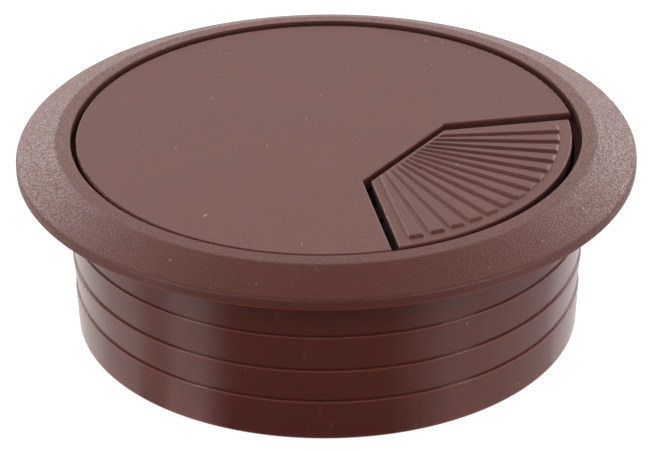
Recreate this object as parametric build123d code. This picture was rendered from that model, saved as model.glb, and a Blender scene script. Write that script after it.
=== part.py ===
"""Round desk cable grommet with a lift-off cap and a sprung, ribbed cable flap.

The liner drops into a 60 mm hole in a desk top. Its flange rests on the desk and
its sleeve hangs in the hole. The cap lies in a recess of the flange. A fan-shaped
flap fills the cut-out in the cap and tilts down into the sleeve to let cables out.

Millimetres. +Z is up, z = 0 is the desk surface (the flange's underside) and the
origin is on the axis of the hole. The flap opens towards +X.
"""
from build123d import *
import math
import os

# ---- liner: flange ----
FLANGE_R = 36.0            # outer radius of the flange
FLANGE_EDGE_H = 1.3        # height of the flange's upright outer edge
CREST_R = 31.4             # where the flange's slope meets its flat inner rim
CREST_Z = 3.2
LIP_R = 29.65              # inner edge of the flat rim, round the cap
LIP_Z = 3.35
EDGE_ROUND = 0.45          # rounding of the flange's outer top edge
CREST_ROUND = 1.2          # rounding between slope and rim
LIP_ROUND = 0.12
FLANGE_FOOT_ROUND = 0.15   # rounding where the flange's edge meets the desk

# ---- liner: sleeve ----
SLEEVE_BOTTOM_Z = -20.2
BORE_R = 28.8              # inside of the sleeve
RECESS_R = 29.6            # recess that holds the cap
LAND_R = 29.9              # plain land under the flange, which centres the liner
LAND_LENGTH = 2.6
BARB_TOPS = [(30.12, -2.6), (30.08, -6.8), (29.93, -11.2), (29.74, -15.3)]
BARB_FOOT_R = [29.87, 29.68, 29.5, 29.5]
BORE_CHAMFER = 0.3

# ---- cap ----
CAP_R = 29.04
CAP_TOP_Z = 3.05
CAP_THICKNESS = 1.6
CAP_EDGE_ROUND = 0.2
SKIRT_OUTER_R = 28.3
SKIRT_INNER_R = 27.0
SKIRT_DEPTH = 5.0
SKIRT_SLOT_WIDTH = 2.4
SKIRT_ROOT = 1.2           # unslotted height of the skirt under the disc
SKIRT_SLOT_ANGLES = [85, 135, 180, 225, 275]
SKIRT_CLEARANCE = 2.5      # the skirt stops short of the cut-out, clear of the flap
STIFFENER_WIDTH = 1.0
STIFFENER_DEPTH = 1.2
STIFFENER_ANGLES = [110, 180, 250]
HUB_OUTER_R = 5.0
HUB_INNER_R = 4.0

# ---- cut-out in the cap: a wedge of nearly 90 degrees with its point cut off ----
CUT_APEX = (1.58, 1.06)     # where the two sides would meet
CUT_INNER_X = 10.13        # the straight inner edge
CUT_HALF_ANGLE = 44.7

# ---- flap ----
FLAP_APEX = (3.25, 0.73)
FLAP_INNER_X = 10.91
FLAP_R = 28.5
FLAP_TOP_Z = 3.0
FLAP_THICKNESS = 1.55
FLAP_CORNER_R = 1.0
FLAP_EDGE_ROUND = 0.18

# ---- ribs on the flap ----
RIB_COUNT = 14
RIB_PITCH_DEG = 6.32
RIB_WIDTH_DEG = 4.5
RIB_APEX = (4.4, 0.68)
RIB_START_X = 11.3
RIB_END_R = 27.1
RIB_HEIGHT = 0.35
RIB_TAPER_DEG = 22.0

# ---- hinge of the flap ----
HINGE_X = 11.6
HINGE_Z = 0.8
KNUCKLE_R = 1.1
KNUCKLE_SPANS = [(-7.1, -2.4), (3.6, 9.8)]
LUG_SPANS = [(-11.2, -9.6), (10.5, 12.0)]
LUG_BACK_X = 8.8
PIN_R = 0.5
PIN_SPAN = (-11.5, 12.3)
PIN_CHAMFER = 0.12
KNUCKLE_BORE_R = 0.56
LUG_BORE_R = 0.52

# ---- stops that keep the flap level ----
STOP_X = (13.2, 15.2)
STOP_THICKNESS = 0.7
STOP_UPPER_Y = (10.6, 15.3)
STOP_LOWER_Y = (-13.4, -9.1)

# ---- torsion spring ----
WIRE_R = 0.19
COIL_R = 0.84
COIL_PITCH = 0.46
COIL_TURNS = 8
COIL_START_Y = -1.3
LEG_GAP = 0.45             # room between the coil and the separate turning leg
LEG_RUN = 3.0
COIL_END_R = 0.22          # rounded end that joins the coil to its leg
LEG_RISE_RUN = 1.2
LEG_TIP_RUN = 1.0
LEG_BEND_R = 0.4
LEG_CLEARANCE = 0.05       # left between a leg's tip and the face it bears on
POCKET_Y = (-2.2, 3.4)
POCKET_TOP_Z = 2.05
POCKET_END_X = 13.0

CAP_UNDER_Z = CAP_TOP_Z - CAP_THICKNESS
FLAP_UNDER_Z = FLAP_TOP_Z - FLAP_THICKNESS
FAR = 60.0                 # beyond the edge of everything
OVERCUT = 1.0              # how far a cutter runs past what it cuts


def save(part, name):
    """Write one sub-part as parts/NAME.step."""
    part.label = name
    export_step(part, f"parts/{name}.step")


def cylinder_along_y(radius, y_low, y_high, x=HINGE_X, z=HINGE_Z):
    plane = Plane(origin=(x, y_low, z), x_dir=(1, 0, 0), z_dir=(0, 1, 0))
    return extrude(plane * Circle(radius), amount=y_high - y_low)


def block(x_span, y_span, z_span):
    size = [high - low for low, high in (x_span, y_span, z_span)]
    middle = [(high + low) / 2 for low, high in (x_span, y_span, z_span)]
    return Pos(*middle) * Box(*size)


def wedge(apex, inner_x):
    """Flat wedge that opens towards +X, with its point cut off at inner_x."""
    slope = math.tan(math.radians(CUT_HALF_ANGLE))
    near = (inner_x - apex[0]) * slope
    far = (FAR - apex[0]) * slope
    corners = [
        (inner_x, apex[1] - near),
        (FAR, apex[1] - far),
        (FAR, apex[1] + far),
        (inner_x, apex[1] + near),
    ]
    return make_face(Polyline(*corners, close=True))


def near_vertex(sketch, r, z):
    """The corner of an XZ profile that lies at radius r and height z."""
    return sketch.vertices().sort_by_distance((r, 0, z))[0]


def liner():
    """Flange, recess and barbed sleeve in one turned shape."""
    outline = [
        (BORE_R + BORE_CHAMFER, SLEEVE_BOTTOM_Z),
        (BORE_R, SLEEVE_BOTTOM_Z + BORE_CHAMFER),
        (BORE_R, CAP_UNDER_Z),
        (RECESS_R, CAP_UNDER_Z),
        (LIP_R, LIP_Z),
        (CREST_R, CREST_Z),
        (FLANGE_R, FLANGE_EDGE_H),
        (FLANGE_R, 0),
        (LAND_R, 0),
        (LAND_R, -LAND_LENGTH),
    ]
    feet = [z for _, z in BARB_TOPS[1:]] + [SLEEVE_BOTTOM_Z]
    for (top_r, top_z), foot_r, foot_z in zip(BARB_TOPS, BARB_FOOT_R, feet):
        outline.append((top_r, top_z))
        outline.append((foot_r, foot_z))
    profile = make_face(Polyline(*[(r, 0, z) for r, z in outline], close=True))
    profile = fillet(near_vertex(profile, CREST_R, CREST_Z), CREST_ROUND)
    profile = fillet(near_vertex(profile, FLANGE_R, FLANGE_EDGE_H), EDGE_ROUND)
    profile = fillet(near_vertex(profile, LIP_R, LIP_Z), LIP_ROUND)
    profile = fillet(near_vertex(profile, FLANGE_R, 0), FLANGE_FOOT_ROUND)
    return revolve(profile, Axis.Z)


def cap_skirt():
    """Ring that guides the cap in the sleeve, slotted into fingers."""
    low = CAP_UNDER_Z - SKIRT_DEPTH
    ring = Circle(SKIRT_OUTER_R) - Circle(SKIRT_INNER_R)
    skirt = extrude(Plane.XY.offset(low) * ring, amount=SKIRT_DEPTH)
    for angle in SKIRT_SLOT_ANGLES:
        slot = block((SKIRT_INNER_R - OVERCUT, SKIRT_OUTER_R + OVERCUT),
                     (-SKIRT_SLOT_WIDTH / 2, SKIRT_SLOT_WIDTH / 2),
                     (low - OVERCUT, CAP_UNDER_Z - SKIRT_ROOT))
        skirt -= Rot(0, 0, angle) * slot
    return skirt


def cap_lug(y_span):
    """Bearing lug under the cap for one end of the hinge pin."""
    lug = cylinder_along_y(KNUCKLE_R, *y_span)
    lug += block((LUG_BACK_X, HINGE_X + KNUCKLE_R), y_span, (HINGE_Z, CAP_UNDER_Z))
    return lug - cylinder_along_y(LUG_BORE_R, y_span[0] - OVERCUT, y_span[1] + OVERCUT)


def cap():
    """Disc with the wedge cut-out, skirt, hinge lugs and stiffening ribs."""
    disc = extrude(Plane.XY.offset(CAP_UNDER_Z) * Circle(CAP_R), amount=CAP_THICKNESS)
    cut_plane = Plane.XY.offset(CAP_UNDER_Z - SKIRT_DEPTH - OVERCUT)
    cut_height = SKIRT_DEPTH + CAP_THICKNESS + 2 * OVERCUT
    disc -= extrude(cut_plane * wedge(CUT_APEX, CUT_INNER_X), amount=cut_height)
    top_edges = disc.faces().sort_by(Axis.Z)[-1].edges()
    disc = fillet(top_edges, CAP_EDGE_ROUND)
    skirt_apex = (CUT_APEX[0] - SKIRT_CLEARANCE, CUT_APEX[1])
    skirt_cut = extrude(cut_plane * wedge(skirt_apex, CUT_INNER_X), amount=cut_height)
    body = disc + (cap_skirt() - skirt_cut)
    stiffener_low = CAP_UNDER_Z - STIFFENER_DEPTH
    middle_skirt_r = (SKIRT_INNER_R + SKIRT_OUTER_R) / 2
    for angle in STIFFENER_ANGLES:
        stiffener = block(((HUB_INNER_R + HUB_OUTER_R) / 2, middle_skirt_r),
                          (-STIFFENER_WIDTH / 2, STIFFENER_WIDTH / 2),
                          (stiffener_low, CAP_UNDER_Z))
        body += Rot(0, 0, angle) * stiffener
    hub = Circle(HUB_OUTER_R) - Circle(HUB_INNER_R)
    body += extrude(Plane.XY.offset(stiffener_low) * hub, amount=STIFFENER_DEPTH)
    for span in LUG_SPANS:
        body += cap_lug(span)
    return body


def ray_to_radius(start, direction, radius):
    """Length along a ray from start to a circle round the origin."""
    along = start[0] * direction[0] + start[1] * direction[1]
    rest = radius ** 2 - start[0] ** 2 - start[1] ** 2
    return math.sqrt(along ** 2 + rest) - along


def along_ray(start, direction, length):
    return (start[0] + length * direction[0], start[1] + length * direction[1])


def rib(angle_deg):
    """One raised rib: a thin tapered wedge along a ray from the ribs' meeting point."""
    inner_corners = []
    outer_corners = []
    for side in (-1, 1):
        angle = math.radians(angle_deg + side * RIB_WIDTH_DEG / 2)
        direction = (math.cos(angle), math.sin(angle))
        inner = (RIB_START_X - RIB_APEX[0]) / direction[0]
        outer = ray_to_radius(RIB_APEX, direction, RIB_END_R)
        inner_corners.append(along_ray(RIB_APEX, direction, inner))
        outer_corners.append(along_ray(RIB_APEX, direction, outer))
    outline = outer_corners + inner_corners[::-1]
    face = make_face(Polyline(*outline, close=True))
    return extrude(Plane.XY.offset(FLAP_TOP_Z) * face, amount=RIB_HEIGHT, taper=RIB_TAPER_DEG)


def flap_plate():
    """The fan-shaped plate with rounded corners and edges."""
    outline = wedge(FLAP_APEX, FLAP_INNER_X) & Circle(FLAP_R)
    plate = extrude(Plane.XY.offset(FLAP_UNDER_Z) * outline, amount=FLAP_THICKNESS)
    upright = plate.edges().filter_by(Axis.Z)
    middle_r = (FLAP_INNER_X + FLAP_R) / 2
    corners = [e for e in upright if math.hypot(e.center().X, e.center().Y) > middle_r]
    plate = fillet(corners, FLAP_CORNER_R)
    top_edges = plate.faces().sort_by(Axis.Z)[-1].edges()
    return fillet(top_edges, FLAP_EDGE_ROUND)


def cable_flap():
    """Ribbed flap with its hinge knuckles, stops and spring pocket."""
    body = flap_plate()
    first_angle = -RIB_PITCH_DEG * (RIB_COUNT - 1) / 2
    for index in range(RIB_COUNT):
        body += rib(first_angle + index * RIB_PITCH_DEG)
    for span in KNUCKLE_SPANS:
        body += cylinder_along_y(KNUCKLE_R, *span)
    for y_span in (STOP_UPPER_Y, STOP_LOWER_Y):
        body += block(STOP_X, y_span, (FLAP_UNDER_Z - STOP_THICKNESS, FLAP_UNDER_Z))
    pocket_x = (FLAP_INNER_X - OVERCUT, POCKET_END_X)
    body -= block(pocket_x, POCKET_Y, (HINGE_Z - KNUCKLE_R - OVERCUT, POCKET_TOP_Z))
    low = KNUCKLE_SPANS[0][0] - OVERCUT
    high = KNUCKLE_SPANS[-1][1] + OVERCUT
    return body - cylinder_along_y(KNUCKLE_BORE_R, low, high)


def hinge_pin():
    """Plain steel pin with chamfered ends."""
    pin = cylinder_along_y(PIN_R, *PIN_SPAN)
    ends = pin.edges().filter_by(GeomType.CIRCLE)
    return chamfer(ends, PIN_CHAMFER)


def spring_leg(start_y, direction):
    """Wire from under the coil outwards along X, then up to bear from below."""
    low_z = HINGE_Z - COIL_R
    tip_z = CAP_UNDER_Z - WIRE_R - LEG_CLEARANCE
    bend_x = HINGE_X + direction * LEG_RUN
    tip_x = bend_x + direction * LEG_RISE_RUN
    end_x = tip_x + direction * LEG_TIP_RUN
    points = [(HINGE_X, start_y, low_z), (bend_x, start_y, low_z),
              (tip_x, start_y, tip_z), (end_x, start_y, tip_z)]
    path = FilletPolyline(*points, radius=LEG_BEND_R)
    plane = Plane(origin=points[0], z_dir=(direction, 0, 0))
    return sweep(plane * Circle(WIRE_R), path=path)


def flap_spring():
    """The spring's coil round the pin, with the leg that bears on the cap."""
    height = COIL_PITCH * COIL_TURNS
    place = Plane(origin=(HINGE_X, COIL_START_Y, HINGE_Z), x_dir=(0, 0, -1), z_dir=(0, 1, 0))
    helix = Helix(pitch=COIL_PITCH, height=height, radius=COIL_R)
    section = Plane(origin=helix @ 0, z_dir=helix % 0) * Circle(WIRE_R)
    coil = place.location * sweep(section, path=helix, is_frenet=True)
    coil_end = Pos(HINGE_X, COIL_START_Y + height, HINGE_Z - COIL_R) * Sphere(COIL_END_R)
    return coil + (coil_end + spring_leg(COIL_START_Y + height, -1))


def flap_spring_leg():
    """The spring's other leg, which bears on the flap and turns with it."""
    return spring_leg(COIL_START_Y - LEG_GAP, 1)


os.makedirs("parts", exist_ok=True)
save(liner(), "liner")
save(cap(), "cap")
save(cable_flap(), "cable_flap")
save(hinge_pin(), "hinge_pin")
save(flap_spring(), "flap_spring")
save(flap_spring_leg(), "flap_spring_leg")
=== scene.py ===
"""Looks for the desk cable grommet: a brown moulded grommet on a pale studio floor.

Everything is in the CAD model's frame. Sizes are written in millimetres and turned
into metres by MM. The flap opens towards +X, and the camera stands in front of it
and to its left.
"""
import math

import bmesh
import bpy
from mathutils import Matrix, Vector


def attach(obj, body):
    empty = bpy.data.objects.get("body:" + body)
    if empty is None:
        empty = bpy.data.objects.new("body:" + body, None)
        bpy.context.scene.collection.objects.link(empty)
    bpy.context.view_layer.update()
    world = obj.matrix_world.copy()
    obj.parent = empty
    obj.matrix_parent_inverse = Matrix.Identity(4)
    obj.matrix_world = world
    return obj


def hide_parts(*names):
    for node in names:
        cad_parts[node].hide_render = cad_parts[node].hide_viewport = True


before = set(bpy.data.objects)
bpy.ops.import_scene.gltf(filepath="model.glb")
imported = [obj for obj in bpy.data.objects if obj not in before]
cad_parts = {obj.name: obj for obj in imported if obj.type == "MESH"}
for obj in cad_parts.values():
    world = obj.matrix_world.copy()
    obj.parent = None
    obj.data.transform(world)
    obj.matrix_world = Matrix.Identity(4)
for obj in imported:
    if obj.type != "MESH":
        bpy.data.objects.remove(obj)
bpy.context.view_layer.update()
MM = 0.001

# ---------------------------------------------------------------- liner
SEGMENTS = 384
LINER_PROFILE = [
    # radius, height, corner rounding
    (29.1, -20.2, 0.15),
    (28.8, -19.9, 0.15),
    (28.8, 1.45, 0.12),
    (29.6, 1.45, 0.1),
    (29.65, 3.35, 0.16),
    (31.4, 3.2, 1.4),
    (36.0, 1.3, 0.5),
    (36.0, 0.0, 0.22),
    (29.9, 0.0, 0.15),
    (29.9, -2.6, 0.05),
    (30.12, -2.6, 0.1),
    (29.87, -6.8, 0.05),
    (30.08, -6.8, 0.12),
    (29.68, -11.2, 0.05),
    (29.93, -11.2, 0.12),
    (29.5, -15.3, 0.05),
    (29.74, -15.3, 0.12),
    (29.5, -20.2, 0.12),
]

SHELVES = [-6.8, -11.2, -15.3]           # heights of the barb tops that show
POLISHED_BELOW = -0.3                    # the flange is grained, the sleeve is polished
BORE_EDGE_R = 29.15                      # between the bore and the sleeve's outside
RECESS_EDGE_R = 29.64                    # just past the recess round the cap
HINGE_AREA_R = 24.0                      # the hinge and the stops lie inside this radius

# ---------------------------------------------------------------- flap
FLAP_APEX = (3.25, 0.73)
FLAP_INNER_X = 10.91
FLAP_HALF_ANGLE = math.radians(44.7)
FLAP_R = 28.5
FLAP_TOP = 3.0
FLAP_UNDER = 1.45
FLAP_CORNER_R = 1.0
FLAP_INNER_CORNER_R = 0.25
FLAP_EDGE_ROUND = 0.2
RIB_COUNT = 14
RIB_PITCH = 6.32
RIB_HALF_ANGLE = 2.25
RIB_APEX = (4.4, 0.68)
RIB_START_X = 11.3
RIB_END_R = 27.1
RIB_HEIGHT = 0.26
RIB_SINK = 0.1
RIB_TAPER = math.radians(34.0)
RIB_ROUND = 0.12
RIB_END_SLOPE = 0.42
HINGE_X = 11.6
HINGE_Z = 0.8
KNUCKLE_R = 1.1
KNUCKLE_BORE_R = 0.56
KNUCKLE_SPANS = [(-7.1, -2.4), (3.6, 9.8)]
STOPS = [(-13.4, -9.1), (10.6, 15.3)]
STOP_X = (13.2, 15.2)
STOP_Z = (0.75, 1.455)
POCKET_X = (9.9, 13.0)
POCKET_Y = (-2.2, 3.4)
POCKET_Z = (-1.3, 2.05)


def material(name):
    mat = bpy.data.materials.new(name)
    mat.use_nodes = True
    mat.node_tree.nodes.clear()
    return mat


class Graph:
    """Short way to add and join shader nodes."""

    def __init__(self, tree):
        self.tree = tree

    def node(self, kind, **settings):
        made = self.tree.nodes.new(kind)
        for key, value in settings.items():
            setattr(made, key, value)
        return made

    def put(self, socket, value):
        if isinstance(value, bpy.types.NodeSocket):
            self.tree.links.new(value, socket)
        else:
            socket.default_value = value

    def math(self, operation, first, second=0.0, clamp=False):
        made = self.node("ShaderNodeMath", operation=operation, use_clamp=clamp)
        self.put(made.inputs[0], first)
        self.put(made.inputs[1], second)
        return made.outputs[0]

    def step(self, value, low, high):
        """0 below low, 1 above high, smooth between."""
        made = self.node("ShaderNodeMapRange", interpolation_type="SMOOTHSTEP")
        self.put(made.inputs["Value"], value)
        self.put(made.inputs["From Min"], low)
        self.put(made.inputs["From Max"], high)
        return made.outputs[0]

    def scale(self, value, low, high):
        """0 to 1 becomes low to high."""
        made = self.node("ShaderNodeMapRange")
        self.put(made.inputs["Value"], value)
        self.put(made.inputs["To Min"], low)
        self.put(made.inputs["To Max"], high)
        return made.outputs[0]

    def invert(self, value):
        return self.math("SUBTRACT", 1.0, value)

    def both(self, first, second):
        return self.math("MULTIPLY", first, second)

    def band(self, value, rise, fall):
        """1 between two (start, end) slopes, 0 outside them."""
        return self.both(self.step(value, *rise), self.invert(self.step(value, *fall)))

    def parts(self, vector):
        """The X, Y and Z sockets of a vector."""
        made = self.node("ShaderNodeSeparateXYZ")
        self.put(made.inputs[0], vector)
        return made.outputs

    def length(self, vector):
        made = self.node("ShaderNodeVectorMath", operation="LENGTH")
        self.put(made.inputs[0], vector)
        return made.outputs["Value"]

    def surface(self, shader):
        """Makes a shader socket the material's surface."""
        made = self.node("ShaderNodeOutputMaterial")
        self.put(made.inputs[0], shader)

    def mix(self, factor, first, second):
        """Colour mix; a plain number for the second is used as a grey."""
        if isinstance(second, float):
            second = (second, second, second, 1.0)
        made = self.node("ShaderNodeMix", data_type="RGBA")
        self.put(made.inputs[0], factor)
        self.put(made.inputs[6], first)
        self.put(made.inputs[7], second)
        return made.outputs[2]

    def noise(self, point, scale, detail=2.0, rough=0.5):
        made = self.node("ShaderNodeTexNoise")
        self.put(made.inputs["Vector"], point)
        made.inputs["Scale"].default_value = scale
        made.inputs["Detail"].default_value = detail
        made.inputs["Roughness"].default_value = rough
        return made.outputs["Fac"]

    def stretched(self, point, factors):
        made = self.node("ShaderNodeVectorMath", operation="MULTIPLY")
        self.put(made.inputs[0], point)
        made.inputs[1].default_value = factors
        return made.outputs[0]


def colour(red, green, blue):
    return (red, green, blue, 1.0)


def specks(g, point, scale, radius, share):
    """Sparse small dots: 1 inside a dot, 0 elsewhere."""
    cells = g.node("ShaderNodeTexVoronoi", feature="F1")
    g.put(cells.inputs["Vector"], point)
    cells.inputs["Scale"].default_value = scale
    inside = g.invert(g.step(cells.outputs["Distance"], radius * 0.5, radius))
    split = g.node("ShaderNodeSeparateColor")
    g.put(split.inputs[0], cells.outputs["Color"])
    chosen = g.math("LESS_THAN", split.outputs[0], share)
    return g.both(inside, chosen)


def in_mm(*heights):
    return tuple(height * MM for height in heights)


def handled_tone(g, point, grain, scuff):
    """Brown with faint clouding, scuffs and dust."""
    cloud = g.noise(point, 90.0, 3.0, 0.55)
    tone = g.mix(g.scale(cloud, 0.15, 0.85), BROWN_DARK, BROWN_LIGHT)
    tone = g.mix(g.scale(grain, 0.0, 0.35), tone, BROWN)
    tone = g.mix(g.both(scuff, 0.06), tone, SCUFF_COLOUR)
    round_dust = specks(g, point, 480.0, 0.07, 0.2)
    long_dust = specks(g, g.stretched(point, (1.0, 0.35, 1.0)), 300.0, 0.055, 0.16)
    dust = g.math("MAXIMUM", round_dust, long_dust)
    return g.mix(g.both(dust, 0.5), tone, DUST_COLOUR)


def shade_of_walls(g, normal, height, radius, wall_shade):
    """Mask of painted shade: the upright walls of the disc and the tops of the hinge area."""
    lean = g.parts(normal)[2]
    upright = g.invert(g.step(g.math("ABSOLUTE", lean), 0.3, 0.8))
    wall = g.both(upright, g.band(height, in_mm(1.2, 1.4), in_mm(2.3, 2.9)))
    # painted shade on the faces deep in the hinge area that don't face down
    deep_shade = g.invert(g.step(height, *in_mm(1.5, 1.8)))
    deep_shade = g.both(deep_shade, g.math("LESS_THAN", radius, HINGE_AREA_R * MM))
    deep_shade = g.both(deep_shade, g.step(lean, -0.7, -0.3))
    return g.math("MAXIMUM", g.both(wall, wall_shade), g.both(deep_shade, 0.95))


def inside_liner(g, height, radius):
    """1 on the bore and on the recess round the cap, 0 on the outside."""
    edge = g.scale(g.step(height, *in_mm(0.4, 0.8)), *in_mm(BORE_EDGE_R, RECESS_EDGE_R))
    inside = g.math("LESS_THAN", radius, edge)
    return g.both(inside, g.math("LESS_THAN", height, 3.0 * MM))


def liner_tone(g, tone, height, inside):
    """Painted shade inside, painted light at the thin lower edges, painted shade and highlight lines
    at the barbs' tops.
    """
    # painted shade on the bore and the recess round the cap
    tone = g.mix(g.both(inside, 0.6), tone, INSIDE_SHADE_COLOUR)
    # painted light: lighter, redder bands at the foot of the flange and the sleeve's bottom rim
    foot = g.band(height, in_mm(-0.2, 0.05), in_mm(0.15, 0.45))
    rim = g.invert(g.step(height, *in_mm(-20.08, -19.8)))
    tone = g.mix(g.both(g.math("MAXIMUM", foot, rim), 0.7), tone, EDGE_LIGHT_COLOUR)
    # painted shade just above each barb's top
    for shelf in SHELVES:
        above = g.math("MAXIMUM", inside, g.step(height, *in_mm(shelf - 0.03, shelf + 0.02)))
        past = g.math("MAXIMUM", inside, g.step(height, *in_mm(shelf + 0.14, shelf + 0.3)))
        shelf_shade = g.both(above, g.invert(past))
        tone = g.mix(g.both(shelf_shade, 0.55), tone, SHELF_SHADE_COLOUR)
        # painted highlight on the edge just below each barb's top
        below = g.step(height, *in_mm(shelf - 0.26, shelf - 0.18))
        shelf_highlight = g.both(below, g.invert(above))
        tone = g.mix(g.both(shelf_highlight, 0.6), tone, SHELF_HIGHLIGHT_COLOUR)
    return tone


def plastic(name, rough, grain_depth, sparkle, wall_shade=None):
    """Moulded plastic with a fine spark-eroded grain, dust and handling marks.

    wall_shade paints shade on the upright walls in the gaps of the cap and the flap.
    Without it the plastic is the liner's, with its polished sleeve.
    """
    mat = material(name)
    g = Graph(mat.node_tree)
    place = g.node("ShaderNodeTexCoord")
    point = place.outputs["Object"]
    grain = g.noise(point, 6800.0, 2.0, 0.6)
    coarse = g.noise(point, 3600.0, 2.0, 0.5)
    wisps = g.noise(g.stretched(point, (260.0, 900.0, 260.0)), 1.0, 4.0, 0.6)
    scuff = g.step(wisps, 0.63, 0.72)
    tone = handled_tone(g, point, grain, scuff)
    roughness = g.scale(g.step(coarse, 0.42, 0.6), rough + sparkle, rough - sparkle)
    roughness = g.math("ADD", roughness, g.both(scuff, 0.06))
    depth = grain_depth
    height = g.parts(point)[2]
    radius = g.length(g.stretched(point, (1.0, 1.0, 0.0)))
    if wall_shade is not None:
        shade = shade_of_walls(g, place.outputs["Normal"], height, radius, wall_shade)
        # painted shade: the walls in the gaps and the hinge area turn nearly black
        tone = g.mix(shade, tone, GAP_SHADE_COLOUR)
        roughness = g.mix(shade, roughness, 0.95)
    else:
        inside = inside_liner(g, height, radius)
        tone = liner_tone(g, tone, height, inside)
        grained = g.step(height, *in_mm(POLISHED_BELOW - 0.1, POLISHED_BELOW + 0.1))
        roughness = g.mix(grained, g.scale(coarse, 0.2, 0.25), roughness)
        roughness = g.mix(inside, roughness, 0.85)
        depth = g.scale(grained, 0.02, grain_depth)
    shader = g.node("ShaderNodeBsdfPrincipled")
    g.put(shader.inputs["Base Color"], tone)
    g.put(shader.inputs["Roughness"], roughness)
    shader.inputs["IOR"].default_value = PLASTIC_IOR
    bump = g.node("ShaderNodeBump")
    bump.inputs["Distance"].default_value = GRAIN_BUMP * MM
    g.put(bump.inputs["Strength"], depth)
    g.put(bump.inputs["Height"], g.math("ADD", grain, g.both(coarse, 0.8)))
    g.put(shader.inputs["Normal"], bump.outputs[0])
    g.surface(shader.outputs[0])
    return mat


def steel(name):
    """Blackened drawn steel with fine lines along the wire."""
    mat = material(name)
    g = Graph(mat.node_tree)
    point = g.node("ShaderNodeTexCoord").outputs["Object"]
    lines = g.noise(g.stretched(point, (9000.0, 400.0, 9000.0)), 1.0, 2.0, 0.5)
    shader = g.node("ShaderNodeBsdfPrincipled")
    shader.inputs["Metallic"].default_value = 1.0
    g.put(shader.inputs["Base Color"], g.mix(lines, STEEL_DARK, STEEL_LIGHT))
    g.put(shader.inputs["Roughness"], g.scale(lines, 0.38, 0.52))
    bump = g.node("ShaderNodeBump")
    bump.inputs["Distance"].default_value = WIRE_BUMP * MM
    g.put(bump.inputs["Height"], lines)
    g.put(shader.inputs["Normal"], bump.outputs[0])
    g.surface(shader.outputs[0])
    return mat


BROWN = colour(0.120, 0.0235, 0.0145)
BROWN_LIGHT = colour(0.130, 0.0270, 0.0175)
BROWN_DARK = colour(0.108, 0.0205, 0.0125)
SCUFF_COLOUR = colour(0.36, 0.28, 0.25)
DUST_COLOUR = colour(0.5, 0.44, 0.4)
# painted shade in the gaps of the cap and the flap
GAP_SHADE_COLOUR = colour(0.006, 0.002, 0.0015)
# painted shade inside the liner
INSIDE_SHADE_COLOUR = colour(0.012, 0.004, 0.003)
# painted light at the thin lower edges
EDGE_LIGHT_COLOUR = colour(0.21, 0.034, 0.02)
# painted shade above the barb tops
SHELF_SHADE_COLOUR = colour(0.02, 0.004, 0.003)
# painted highlight on the edges of the barb tops
SHELF_HIGHLIGHT_COLOUR = colour(0.24, 0.06, 0.042)
STEEL_DARK = colour(0.035, 0.035, 0.036)
STEEL_LIGHT = colour(0.075, 0.074, 0.072)
PLASTIC_IOR = 1.49
GRAIN_BUMP = 0.09                        # height of the grain's bump
WIRE_BUMP = 0.01

liner_plastic = plastic("liner_plastic", rough=0.46, grain_depth=0.5, sparkle=0.1)
# wall_shade is how much shade is painted on the walls in the gaps
cap_plastic = plastic("cap_plastic", rough=0.5, grain_depth=0.3, sparkle=0.03, wall_shade=0.55)
flap_plastic = plastic("flap_plastic", rough=0.5, grain_depth=0.3, sparkle=0.03, wall_shade=0.93)
wire_steel = steel("wire_steel")


LONGEST_REACH = 0.48                     # of a side that a rounded corner may take up
TINY = 1e-6
MERGE_DISTANCE = 1e-5
NORMAL_WEIGHT = 60                       # how far large faces lead the shading normals


def round_corners(points, steps=6):
    """Closed outline of (x, y, radius) corners, each turned into a small arc."""
    rounded = []
    count = len(points)
    for i, (x, y, radius) in enumerate(points):
        here = Vector((x, y))
        before = Vector(points[i - 1][:2]) - here
        after = Vector(points[(i + 1) % count][:2]) - here
        half = before.angle(after) / 2
        reach = radius / math.tan(half) if radius else 0.0
        reach = min(reach, LONGEST_REACH * before.length, LONGEST_REACH * after.length)
        if reach < TINY:
            rounded.append(here)
            continue
        start = here + before.normalized() * reach
        end = here + after.normalized() * reach
        middle = here + (before.normalized() + after.normalized()).normalized() * (
            reach / math.cos(half))
        size = reach * math.tan(half)
        first = start - middle
        turn = first.angle_signed(end - middle)
        for k in range(steps + 1):
            angle = -turn * k / steps
            c, s = math.cos(angle), math.sin(angle)
            arm = Vector((first.x * c - first.y * s, first.x * s + first.y * c))
            rounded.append(middle + arm.normalized() * size)
    return rounded


def finish_piece(name, bm, body, mat, sharp_degrees=32.0):
    """Turns a bmesh in millimetres into a smooth-shaded piece that rides on a body."""
    bmesh.ops.remove_doubles(bm, verts=bm.verts, dist=MERGE_DISTANCE)
    bmesh.ops.recalc_face_normals(bm, faces=bm.faces)
    bm.transform(Matrix.Scale(MM, 4))
    mesh = bpy.data.meshes.new(name)
    bm.to_mesh(mesh)
    bm.free()
    mesh.shade_smooth()
    mesh.set_sharp_from_angle(angle=math.radians(sharp_degrees))
    mesh.materials.append(mat)
    piece = bpy.data.objects.new(name, mesh)
    bpy.context.scene.collection.objects.link(piece)
    even = piece.modifiers.new("even_normals", "WEIGHTED_NORMAL")
    even.keep_sharp = True
    even.weight = NORMAL_WEIGHT
    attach(piece, body)
    return piece


def lathe(bm, outline, segments):
    """Turns a closed outline of (radius, height) round the Z axis."""
    rings = []
    for point in outline:
        ring = []
        for k in range(segments):
            angle = 2 * math.pi * k / segments
            x, y = point[0] * math.cos(angle), point[0] * math.sin(angle)
            ring.append(bm.verts.new((x, y, point[1])))
        rings.append(ring)
    for i, ring in enumerate(rings):
        other = rings[(i + 1) % len(rings)]
        for k in range(segments):
            j = (k + 1) % segments
            bm.faces.new((ring[k], ring[j], other[j], other[k]))


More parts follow.
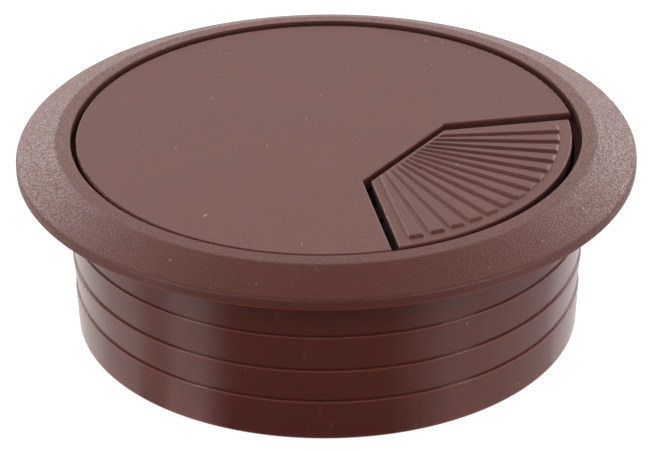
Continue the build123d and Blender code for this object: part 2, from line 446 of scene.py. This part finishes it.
def make_liner():
    bm = bmesh.new()
    lathe(bm, round_corners(LINER_PROFILE), SEGMENTS)
    piece = finish_piece("liner_moulding", bm, "liner", liner_plastic, 50.0)
    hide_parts("liner")
    return piece


def inset(outline, distance):
    """Closed outline moved inwards by a distance; outline runs anticlockwise."""
    moved = []
    count = len(outline)
    for i, here in enumerate(outline):
        before = (here - outline[i - 1]).normalized()
        after = (outline[(i + 1) % count] - here).normalized()
        tangent = (before + after).normalized()
        normal = Vector((-tangent.y, tangent.x))
        stretch = max(0.5, normal.dot(Vector((-before.y, before.x))))
        moved.append(here + normal * (distance / stretch))
    return moved


def loft(bm, loops):
    """Joins loops of 3-D points and closes both ends."""
    rows = [[bm.verts.new(p) for p in loop] for loop in loops]
    for low, high in zip(rows, rows[1:]):
        for k in range(len(low)):
            j = (k + 1) % len(low)
            bm.faces.new((low[k], low[j], high[j], high[k]))
    bm.faces.new(rows[0][::-1])
    bm.faces.new(rows[-1])


def plate(bm, outline, low, high, edge, steps=5):
    """Flat plate with rounded edges at top and bottom."""
    loops = []
    for k in range(steps + 1):
        angle = math.pi / 2 * k / steps
        shift = edge * (1 - math.sin(angle))
        loops.append((shift, low + edge * (1 - math.cos(angle))))
    for k in range(steps + 1):
        angle = math.pi / 2 * (1 - k / steps)
        shift = edge * (1 - math.sin(angle))
        loops.append((shift, high - edge * (1 - math.cos(angle))))
    loft(bm, [[(p.x, p.y, z) for p in inset(outline, shift)] for shift, z in loops])


def ray_to_circle(start, angle, radius):
    ux, uy = math.cos(angle), math.sin(angle)
    along = start[0] * ux + start[1] * uy
    rest = radius ** 2 - start[0] ** 2 - start[1] ** 2
    return math.sqrt(along ** 2 + rest) - along


def flap_outline():
    """Wedge with its point cut off and a round outer side, anticlockwise."""
    near = (FLAP_INNER_X - FLAP_APEX[0]) * math.tan(FLAP_HALF_ANGLE)
    lower = (FLAP_INNER_X, FLAP_APEX[1] - near)
    upper = (FLAP_INNER_X, FLAP_APEX[1] + near)
    ends = []
    for angle in (-FLAP_HALF_ANGLE, FLAP_HALF_ANGLE):
        reach = ray_to_circle(FLAP_APEX, angle, FLAP_R)
        x = FLAP_APEX[0] + reach * math.cos(angle)
        y = FLAP_APEX[1] + reach * math.sin(angle)
        ends.append(math.atan2(y, x))
    corners = [(*upper, FLAP_INNER_CORNER_R), (*lower, FLAP_INNER_CORNER_R)]
    arc_steps = 72
    for k in range(arc_steps + 1):
        angle = ends[0] + (ends[1] - ends[0]) * k / arc_steps
        end = k in (0, arc_steps)
        x, y = FLAP_R * math.cos(angle), FLAP_R * math.sin(angle)
        corners.append((x, y, FLAP_CORNER_R if end else 0.0))
    return corners


def rib_section(half_width, height):
    """Outline across a rib: a low trapezoid with rounded upper edges."""
    top = half_width - RIB_HEIGHT * math.tan(RIB_TAPER)
    rounding = min(RIB_ROUND, 0.8 * top)
    outline = round_corners([(-half_width, -RIB_SINK, 0.0), (half_width, -RIB_SINK, 0.0),
                             (half_width, 0.0, 0.0), (top, RIB_HEIGHT, rounding),
                             (-top, RIB_HEIGHT, rounding), (-half_width, 0.0, 0.0)], 4)
    return [(p.x, p.y * height if p.y > 0 else p.y) for p in outline]


def ease(t):
    """Quarter round rise from 0 to 1."""
    t = min(1.0, max(0.0, t))
    return math.sin(math.pi / 2 * t) ** 0.8


def add_rib(bm, angle_degrees):
    angle = math.radians(angle_degrees)
    along = Vector((math.cos(angle), math.sin(angle), 0.0))
    across = Vector((-along.y, along.x, 0.0))
    start = (RIB_START_X - RIB_APEX[0]) / along.x
    end = ray_to_circle(RIB_APEX, angle, RIB_END_R)
    apex = Vector((*RIB_APEX, FLAP_TOP))
    places = [0.0, 0.06, 0.12, 0.2, 0.3]
    places += [0.3 + (end - start - 0.3 - RIB_END_SLOPE) * k / 10 for k in range(1, 11)]
    places += [end - start - RIB_END_SLOPE * (1 - k / 6) for k in range(1, 7)]
    loops = []
    for place in places:
        reach = start + place
        half = reach * math.tan(math.radians(RIB_HALF_ANGLE))
        height = min(ease((place + 0.02) / 0.3), ease((end - start - place + 0.02) / RIB_END_SLOPE))
        loops.append([apex + along * reach + across * u + Vector((0, 0, v))
                      for u, v in rib_section(half, height)])
    loft(bm, loops)


def add_block(bm, x_span, y_span, z_span, edge=0.12):
    outline = round_corners([(x_span[0], y_span[0], edge), (x_span[1], y_span[0], edge),
                             (x_span[1], y_span[1], edge), (x_span[0], y_span[1], edge)], 4)
    plate(bm, outline, z_span[0], z_span[1], edge / 2, 3)


def add_rod(bm, radius, y_span, chamfer, segments=64):
    loops = []
    for y, r in ((y_span[0], radius - chamfer), (y_span[0] + chamfer, radius),
                 (y_span[1] - chamfer, radius), (y_span[1], radius - chamfer)):
        turn = [2 * math.pi * k / segments for k in range(segments)]
        loops.append([(HINGE_X + r * math.cos(a), y, HINGE_Z + r * math.sin(a)) for a in turn])
    loft(bm, loops)


def shape(build):
    """A bare object in millimetres, made by a function that fills a bmesh."""
    bm = bmesh.new()
    build(bm)
    bmesh.ops.recalc_face_normals(bm, faces=bm.faces)
    mesh = bpy.data.meshes.new("shape")
    bm.to_mesh(mesh)
    bm.free()
    obj = bpy.data.objects.new("shape", mesh)
    bpy.context.scene.collection.objects.link(obj)
    return obj


def combine(base, others, operation):
    """Joins or cuts bare objects exactly, and removes the tools."""
    for other in others:
        step = base.modifiers.new("combine", "BOOLEAN")
        step.operation = operation
        step.solver = "EXACT"
        step.object = other
    bpy.context.view_layer.update()
    made = bpy.data.meshes.new_from_object(base.evaluated_get(bpy.context.evaluated_depsgraph_get()))
    base.modifiers.clear()
    base.data = made
    for other in others:
        bpy.data.objects.remove(other)
    return base


def make_flap():
    outline = round_corners(flap_outline(), 8)
    base = shape(lambda bm: plate(bm, outline, FLAP_UNDER, FLAP_TOP, FLAP_EDGE_ROUND))
    first = -RIB_PITCH * (RIB_COUNT - 1) / 2

    def ribs(bm):
        for k in range(RIB_COUNT):
            add_rib(bm, first + k * RIB_PITCH)

    def stops(bm):
        for span in STOPS:
            add_block(bm, STOP_X, span, STOP_Z)

    def knuckles(bm):
        for span in KNUCKLE_SPANS:
            add_rod(bm, KNUCKLE_R, span, 0.12)

    def bore(bm):
        add_rod(bm, KNUCKLE_BORE_R, (KNUCKLE_SPANS[0][0] - 1, KNUCKLE_SPANS[1][1] + 1), 0.0)

    added = [shape(ribs), shape(stops), shape(knuckles)]
    base = combine(base, added, "UNION")
    pocket = shape(lambda bm: add_block(bm, POCKET_X, POCKET_Y, POCKET_Z, 0.2))
    base = combine(base, [pocket, shape(bore)], "DIFFERENCE")
    bm = bmesh.new()
    bm.from_mesh(base.data)
    bpy.data.objects.remove(base)
    piece = finish_piece("ribbed_flap", bm, "flap", flap_plastic, 40.0)
    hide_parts("cable_flap")
    return piece


make_liner()
make_flap()

for name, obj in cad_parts.items():
    chosen = wire_steel if name in ("hinge_pin", "flap_spring", "flap_spring_leg") else cap_plastic
    for place in obj.material_slots:
        place.link = "OBJECT"
        place.material = chosen

# ---------------------------------------------------------------- floor and light
FLOOR_Z = -20.25
FLOOR_SIZE = 3.0                         # half width, in metres
# painted shade on the floor inside the sleeve: the radius where it starts, its colour and its dim
# glow
SLEEVE_EDGE = (29.3, 29.5)               # the floor turns dark inside this radius
FLOOR_PALE = colour(0.12, 0.12, 0.12)
FLOOR_SHADE_COLOUR = colour(0.02, 0.018, 0.016)
SHADED_FLOOR_GLOW = 0.006
CARD_COLOUR = colour(0.03, 0.03, 0.03)
MATTE = 0.9
WHITE = colour(1, 1, 1)
WARM_WHITE = (1.0, 0.975, 0.94, 1.0)
WORLD_RANGE = (0.22, 1.42)               # brightness of the studio's dim and bright sides
AWAY = Vector((-0.571, 0.821, 0.0))      # level direction away from the camera
LEFT = Vector((-0.821, -0.571, 0.0))     # level direction to the camera's left
CARD_INNER_R = 29.6
CARD_LENGTH = 900.0
CARD_LIFT = 0.03                         # height of the cards above the floor
CARD_STEP = math.radians(2.0)            # widest facet of a card, seen from the axis
# bearings on the sleeve, from the camera's side, and how bright each card is
CARDS = [
    # first bearing, last bearing, brightness
    (-62.0, -47.5, 0.88),
    (-47.5, -46.0, 0.7),
    (-46.0, -39.0, 0.5),
    (-39.0, -37.5, 0.75),
    (-28.5, -26.5, 0.75),
    (-26.5, -24.5, 0.45),
    (-24.5, -22.5, 0.25),
    (-22.5, 15.0, 0.12),
    (15.0, 18.0, 0.22),
    (18.0, 21.0, 0.36),
    (21.0, 24.0, 0.5),
    (24.0, 27.0, 0.65),
    (27.0, 34.0, 0.78),
    (34.0, 62.0, 0.7),
]


def glowing_matte(g):
    """Matte shader that gives off white light."""
    shader = g.node("ShaderNodeBsdfPrincipled")
    shader.inputs["Roughness"].default_value = MATTE
    shader.inputs["Emission Color"].default_value = WHITE
    return shader


def flat_object(name, bm, mat, height):
    """Links a flat bmesh as an object at a height in millimetres."""
    mesh = bpy.data.meshes.new(name)
    bm.to_mesh(mesh)
    bm.free()
    mesh.materials.append(mat)
    made = bpy.data.objects.new(name, mesh)
    made.location = (0, 0, height * MM)
    bpy.context.scene.collection.objects.link(made)
    return made


def make_floor():
    """Pale floor with painted shade inside the sleeve, clear from below."""
    bm = bmesh.new()
    bmesh.ops.create_grid(bm, x_segments=8, y_segments=8, size=FLOOR_SIZE)
    mat = material("pale_floor")
    g = Graph(mat.node_tree)
    shader = glowing_matte(g)
    shader.inputs["Specular IOR Level"].default_value = 0.0
    reach = g.length(g.node("ShaderNodeTexCoord").outputs["Object"])
    outside = g.step(reach, *in_mm(*SLEEVE_EDGE))
    # painted shade: inside the sleeve the floor is dark and hardly glows
    g.put(shader.inputs["Emission Strength"], g.scale(outside, SHADED_FLOOR_GLOW, 1.0))
    g.put(shader.inputs["Base Color"], g.mix(outside, FLOOR_SHADE_COLOUR, FLOOR_PALE))
    clear_from_below = g.node("ShaderNodeMixShader")
    g.put(clear_from_below.inputs[0], g.node("ShaderNodeNewGeometry").outputs["Backfacing"])
    g.put(clear_from_below.inputs[1], shader.outputs[0])
    g.put(clear_from_below.inputs[2], g.node("ShaderNodeBsdfTransparent").outputs[0])
    g.surface(clear_from_below.outputs[0])
    floor = flat_object("floor", bm, mat, FLOOR_Z)


def level_direction(bearing):
    return Vector((math.cos(bearing), math.sin(bearing), 0.0))


def make_card(name, first, last, glow):
    """Card on the floor, seen only as a reflection between two bearings on the sleeve.

    It fans out at twice the bearing, as the reflected view does.
    """
    bm = bmesh.new()
    facing = math.atan2(-AWAY.y, -AWAY.x)
    count = max(2, math.ceil(abs(last - first) / CARD_STEP))
    rows = []
    for k in range(count + 1):
        share = first + (last - first) * k / count
        start = level_direction(facing + share) * CARD_INNER_R
        run = level_direction(facing + 2 * share) * CARD_LENGTH
        rows.append((bm.verts.new(start), bm.verts.new(start + run)))
    for (near, far), (next_near, next_far) in zip(rows, rows[1:]):
        bm.faces.new((near, far, next_far, next_near))
    bm.transform(Matrix.Scale(MM, 4))
    mat = material(name)
    g = Graph(mat.node_tree)
    shader = glowing_matte(g)
    shader.inputs["Base Color"].default_value = CARD_COLOUR
    shader.inputs["Emission Strength"].default_value = glow
    g.surface(shader.outputs[0])
    card = flat_object(name, bm, mat, FLOOR_Z + CARD_LIFT)
    card.visible_camera = False
    card.visible_shadow = False


def make_world():
    """Pale studio: bright behind and at the sides, dimmer overhead and towards the camera."""
    world = bpy.data.worlds.new("studio")
    world.use_nodes = True
    world.node_tree.nodes.clear()
    g = Graph(world.node_tree)
    ray = g.node("ShaderNodeTexCoord").outputs["Generated"]
    along = g.node("ShaderNodeVectorMath", operation="DOT_PRODUCT")
    g.put(along.inputs[0], ray)
    along.inputs[1].default_value = AWAY
    behind = g.step(along.outputs["Value"], -0.35, 0.45)
    low = g.invert(g.step(g.parts(ray)[2], 0.5, 0.9))
    strength = g.scale(g.both(behind, low), *WORLD_RANGE)
    back = g.node("ShaderNodeBackground")
    back.inputs["Color"].default_value = WARM_WHITE
    g.put(back.inputs["Strength"], strength)
    out = g.node("ShaderNodeOutputWorld")
    g.put(out.inputs[0], back.outputs[0])
    bpy.context.scene.world = world


def area_light(name, left, away, up, size, power):
    """Light at a place in metres from the origin, which it faces; power in watts."""
    data = bpy.data.lights.new(name, "AREA")
    data.shape = "RECTANGLE"
    data.size, data.size_y = size
    data.energy = power
    data.color = WARM_WHITE[:3]
    light = bpy.data.objects.new(name, data)
    light.location = LEFT * left + AWAY * away + Vector((0, 0, up))
    light.rotation_euler = (-light.location).to_track_quat("-Z", "Y").to_euler()
    light.visible_camera = False
    bpy.context.scene.collection.objects.link(light)
    return light


def make_lights():
    """Soft lights behind and at both sides, narrow strips in front, dim fill from above."""
    for side, word in ((1, "left"), (-1, "right")):
        area_light("softbox_" + word, side * 0.62, 0.88, 0.42, (0.6, 0.45), 4.8)
        strip = area_light("strip_" + word, side * 1.0, -0.62, 0.42, (0.22, 0.5), 5.0)
        strip.visible_diffuse = False
        wash = area_light("side_" + word, side * 1.2, -0.1, 0.3, (0.8, 0.6), 2.6)
        wash.visible_glossy = False
    overhead = area_light("overhead", 0.0, 0.0, 1.3, (1.2, 1.2), 0.8)
    overhead.visible_glossy = False
    front = area_light("front", 0.0, -0.95, 0.75, (1.0, 0.6), 5.2)
    front.visible_glossy = False


def make_camera():
    """The viewpoint: 28.7 degrees above the desk, turned 34.8 degrees from the flap's axis."""
    image_width, focal_length = 661.0, 3412.0
    sensor_width = 36.0
    elevation = math.radians(28.7)
    turn = math.radians(34.8)
    roll = math.radians(-0.46)
    distance = 400.0
    aim = Vector((1.20, -0.98, -8.34))
    back = Vector((math.sin(turn) * math.cos(elevation), -math.cos(turn) * math.cos(elevation),
                   math.sin(elevation)))
    right = Vector((math.cos(turn), math.sin(turn), 0.0))
    up = back.cross(right)
    side = right * math.cos(roll) + up * math.sin(roll)
    top = up * math.cos(roll) - right * math.sin(roll)
    data = bpy.data.cameras.new("camera")
    data.sensor_width = sensor_width
    data.lens = sensor_width * focal_length / image_width
    data.clip_start, data.clip_end = 0.01, 20.0
    camera = bpy.data.objects.new("camera", data)
    place = (aim + back * distance) * MM
    turned = Matrix((side, top, back)).transposed().to_4x4()
    camera.matrix_world = Matrix.Translation(place) @ turned
    bpy.context.scene.collection.objects.link(camera)
    bpy.context.scene.camera = camera


make_floor()
for number, (first, last, glow) in enumerate(CARDS):
    make_card(f"card_{number}", math.radians(first), math.radians(last), glow)
make_world()
make_lights()
make_camera()
bpy.context.scene.view_settings.view_transform = "Standard"
bpy.context.scene.view_settings.look = "None"
